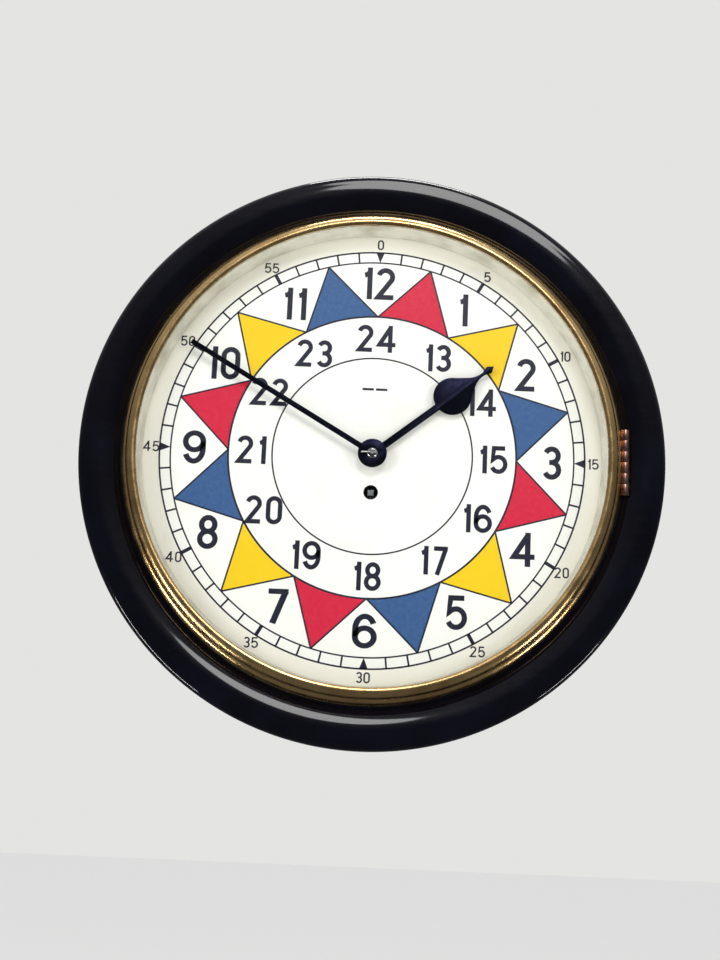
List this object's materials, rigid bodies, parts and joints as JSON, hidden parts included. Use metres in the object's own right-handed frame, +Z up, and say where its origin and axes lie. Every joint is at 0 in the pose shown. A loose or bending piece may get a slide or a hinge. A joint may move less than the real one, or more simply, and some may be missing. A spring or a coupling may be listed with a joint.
{
  "type": "round wall clock",
  "caption": "Round black wood wall clock with a coloured sector dial, hinged brass bezel and a spring driven fusee movement with pendulum.",
  "frame": {"origin": "on the hands' axis, where the back of the box meets the wall", "axes": "+X to the right of the dial, +Y into the wall, +Z up; the dial faces -Y"},
  "size_m": [0.4389, 0.149, 0.439],
  "materials": {
    "black_wood": "gloss black lacquer",
    "case_wood": "satin dark stain",
    "peg_wood": "turned and waxed",
    "bezel_brass": "turned and polished",
    "hinge_brass": "tarnished, reddish",
    "sight_paint": "satin paint",
    "clear_glass": "clear, flat",
    "dial_paint": "gloss cream paint",
    "blued_steel": "dark blued steel",
    "polished_brass": "polished",
    "movement_brass": "straight grained",
    "bright_steel": "polished",
    "spring_steel": "tempered blue"
  },
  "bodies": {
    "root": {"surround": "black_wood", "surround_cheeks": "case_wood", "case_pegs": "peg_wood", "box_back": "case_wood", "box_left_side": "case_wood", "box_right_side": "case_wood", "box_top": "case_wood", "box_bottom": "case_wood", "hanging_plate": "polished_brass", "hanging_screws": "bright_steel", "door_box_leaves": "polished_brass", "door_hinge_pins": "bright_steel", "dial_plate": "dial_paint", "dial_screws": "bright_steel", "dial_feet": "movement_brass", "surround_hinge_leaf": "hinge_brass", "bezel_hinge_pin": "hinge_brass", "minute_wheel_stud": "bright_steel", "hour_bridge": "movement_brass", "front_plate": "movement_brass", "back_plate": "movement_brass", "plate_pillars": "movement_brass", "taper_pins": "bright_steel", "barrel_arbor": "bright_steel", "setup_ratchet_and_click": "bright_steel", "chain_run": "bright_steel", "back_cock": "movement_brass", "cock_screws": "bright_steel"},
    "bezel": {"bezel": "bezel_brass", "sight_ring": "sight_paint", "glass": "clear_glass", "bezel_hinge_leaf": "hinge_brass", "bezel_catch": "hinge_brass"},
    "side_door": {"side_door": "case_wood", "side_door_leaf": "polished_brass", "side_door_knob": "polished_brass"},
    "bottom_door": {"bottom_door": "case_wood", "bottom_door_leaf": "polished_brass", "bottom_door_knob": "polished_brass"},
    "minute_hand": {"minute_hand": "blued_steel", "cannon_wheel": "movement_brass"},
    "hour_hand": {"hour_hand": "blued_steel", "hour_wheel": "movement_brass"},
    "minute_wheel": {"minute_wheel": "movement_brass"},
    "centre_wheel": {"centre_wheel": "movement_brass", "hand_pin": "bright_steel", "hand_collet": "bright_steel"},
    "great_wheel": {"great_wheel": "movement_brass"},
    "fusee": {"fusee": "movement_brass"},
    "barrel": {"barrel": "movement_brass", "barrel_cap": "movement_brass", "barrel_chain": "bright_steel", "mainspring": "spring_steel"},
    "third_wheel": {"third_wheel": "movement_brass"},
    "escape_wheel": {"escape_wheel": "movement_brass"},
    "pallets": {"pallets_and_crutch": "bright_steel"},
    "pendulum": {"pendulum_rod": "bright_steel", "pendulum_bob": "movement_brass", "rating_nut": "movement_brass", "suspension_spring": "spring_steel"}
  },
  "joints": [
    {"name": "bezel_hinge", "type": "hinge", "parent": "root", "child": "bezel", "pos_m": [0.1885, -0.136, 0], "axis": [0, 0, 1], "range_deg": [0, 105]},
    {"name": "side_door_hinge", "type": "hinge", "parent": "root", "child": "side_door", "pos_m": [0.1002, -0.0305, -0.04], "axis": [0, 0, 1], "range_deg": [0, 110]},
    {"name": "bottom_door_hinge", "type": "hinge", "parent": "root", "child": "bottom_door", "pos_m": [0, -0.0305, -0.1942], "axis": [1, 0, 0], "range_deg": [0, 100]},
    {"name": "hand_setting", "type": "hinge", "parent": "root", "child": "minute_hand", "pos_m": [0, -0.12, 0], "axis": [0, 1, 0], "continuous": true},
    {"name": "hour_hand_turn", "type": "hinge", "parent": "root", "child": "hour_hand", "pos_m": [0, -0.12, 0], "axis": [0, 1, 0], "continuous": true},
    {"name": "minute_wheel_turn", "type": "hinge", "parent": "root", "child": "minute_wheel", "pos_m": [0.024, -0.118, 0], "axis": [0, 1, 0], "continuous": true},
    {"name": "third_wheel_turn", "type": "hinge", "parent": "root", "child": "third_wheel", "pos_m": [0.01547, -0.085, 0.0209], "axis": [0, 1, 0], "continuous": true},
    {"name": "centre_wheel_turn", "type": "hinge", "parent": "root", "child": "centre_wheel", "pos_m": [0, -0.085, 0], "axis": [0, 1, 0], "continuous": true},
    {"name": "great_wheel_turn", "type": "hinge", "parent": "root", "child": "great_wheel", "pos_m": [0, -0.065, -0.02839], "axis": [0, 1, 0], "continuous": true},
    {"name": "escape_wheel_turn", "type": "hinge", "parent": "root", "child": "escape_wheel", "pos_m": [0, -0.067, 0.03598], "axis": [0, 1, 0], "continuous": true},
    {"name": "winding", "type": "hinge", "parent": "great_wheel", "child": "fusee", "pos_m": [0, -0.085, -0.02839], "axis": [0, 1, 0], "range_deg": [0, 2880]},
    {"name": "barrel_turn", "type": "hinge", "parent": "root", "child": "barrel", "pos_m": [-0.04, -0.085, -0.06239], "axis": [0, 1, 0], "range_deg": [0, 1440]},
    {"name": "pendulum_swing", "type": "hinge", "parent": "root", "child": "pendulum", "pos_m": [0, -0.038, 0.05861], "axis": [0, 1, 0], "range_deg": [-2.5, 2.5]},
    {"name": "pallets_rock", "type": "hinge", "parent": "root", "child": "pallets", "pos_m": [0, -0.065, 0.05861], "axis": [0, 1, 0], "range_deg": [-2.5, 2.5]}
  ],
  "couplings": [
    {"joint": "hour_hand_turn", "follows": "hand_setting", "ratio": 0.083333},
    {"joint": "minute_wheel_turn", "follows": "hand_setting", "ratio": -1},
    {"joint": "centre_wheel_turn", "follows": "great_wheel_turn", "ratio": -12},
    {"joint": "third_wheel_turn", "follows": "great_wheel_turn", "ratio": 144},
    {"joint": "escape_wheel_turn", "follows": "great_wheel_turn", "ratio": -1584},
    {"joint": "barrel_turn", "follows": "winding", "ratio": 0.5},
    {"joint": "pallets_rock", "follows": "pendulum_swing", "ratio": 1}
  ]
}
